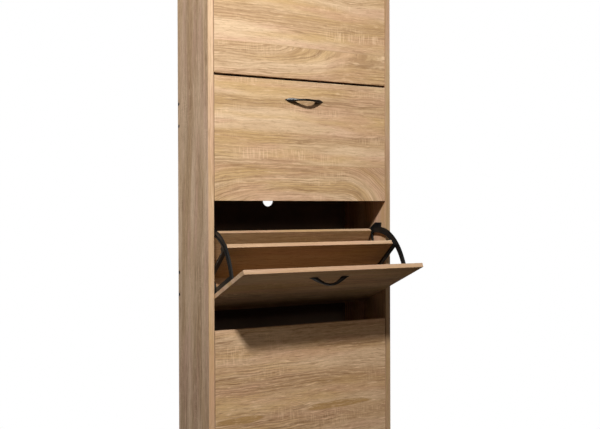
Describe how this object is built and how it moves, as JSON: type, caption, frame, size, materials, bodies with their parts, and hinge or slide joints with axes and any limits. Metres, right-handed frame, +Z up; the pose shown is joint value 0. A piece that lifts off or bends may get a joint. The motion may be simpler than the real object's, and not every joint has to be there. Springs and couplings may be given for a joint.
{
  "type": "shoe cabinet",
  "caption": "Tall narrow shoe cabinet in light oak with tilt-out fronts; each front carries two angled shoe pockets on black plastic side frames and most have a black bow pull.",
  "frame": {"origin": "on the floor, at the middle of the outline seen from above (with the one open flap)", "axes": "+X to the right seen from the front, +Y towards the wall, +Z up; the fronts face -Y"},
  "size_m": [0.58, 0.4314, 1.47],
  "materials": {
    "oak_front": "light oak melamine with horizontal grain",
    "oak_case": "light oak melamine with vertical grain",
    "hardboard": "matt brown hardboard",
    "black_plastic": "satin black moulding",
    "black_metal": "black lacquer",
    "zinc_steel": "zinc plated"
  },
  "bodies": {
    "cabinet": {"side_panel_left": "oak_case", "side_panel_right": "oak_case", "top_panel": "oak_case", "bottom_panel": "oak_case", "plinth_front": "oak_case", "rail_base": "oak_case", "rail_lower": "oak_case", "rail_upper": "oak_case", "back_panel": "hardboard", "glide_front_left": "black_plastic", "glide_rear_left": "black_plastic", "glide_front_right": "black_plastic", "glide_rear_right": "black_plastic", "guide_pin_left_1": "black_plastic", "guide_pin_right_1": "black_plastic", "guide_pin_left_2": "black_plastic", "guide_pin_right_2": "black_plastic", "guide_pin_left_3": "black_plastic", "guide_pin_right_3": "black_plastic", "guide_pin_left_4": "black_plastic", "guide_pin_right_4": "black_plastic"},
    "flap_1": {"door_1": "oak_front", "front_floor_1": "oak_front", "middle_divider_1": "oak_front", "rear_floor_1": "oak_front", "rear_divider_1": "oak_front", "side_frame_left_1": "black_plastic", "side_frame_right_1": "black_plastic", "handle_1": "black_metal", "handle_screw_left_1": "zinc_steel", "handle_screw_right_1": "zinc_steel"},
    "flap_2": {"door_2": "oak_front", "front_floor_2": "oak_front", "middle_divider_2": "oak_front", "rear_floor_2": "oak_front", "rear_divider_2": "oak_front", "side_frame_left_2": "black_plastic", "side_frame_right_2": "black_plastic", "handle_2": "black_metal", "handle_screw_left_2": "zinc_steel", "handle_screw_right_2": "zinc_steel"},
    "flap_3": {"door_3": "oak_front", "front_floor_3": "oak_front", "middle_divider_3": "oak_front", "rear_floor_3": "oak_front", "rear_divider_3": "oak_front", "side_frame_left_3": "black_plastic", "side_frame_right_3": "black_plastic", "handle_3": "black_metal", "handle_screw_left_3": "zinc_steel", "handle_screw_right_3": "zinc_steel"},
    "flap_4": {"door_4": "oak_front", "front_floor_4": "oak_front", "middle_divider_4": "oak_front", "rear_floor_4": "oak_front", "rear_divider_4": "oak_front", "side_frame_left_4": "black_plastic", "side_frame_right_4": "black_plastic"}
  },
  "joints": [
    {"name": "flap_1_tilt", "type": "hinge", "parent": "cabinet", "child": "flap_1", "pos_m": [0, 0.01189, 1.2185], "axis": [1, 0, 0], "range_deg": [0, 68]},
    {"name": "flap_2_tilt", "type": "hinge", "parent": "cabinet", "child": "flap_2", "pos_m": [0, 0.01189, 0.8755], "axis": [1, 0, 0], "range_deg": [0, 68]},
    {"name": "flap_3_tilt", "type": "hinge", "parent": "cabinet", "child": "flap_3", "pos_m": [0, 0.01189, 0.5325], "axis": [1, 0, 0], "range_deg": [-68, 0]},
    {"name": "flap_4_tilt", "type": "hinge", "parent": "cabinet", "child": "flap_4", "pos_m": [0, 0.01189, 0.1895], "axis": [1, 0, 0], "range_deg": [0, 68]}
  ]
}
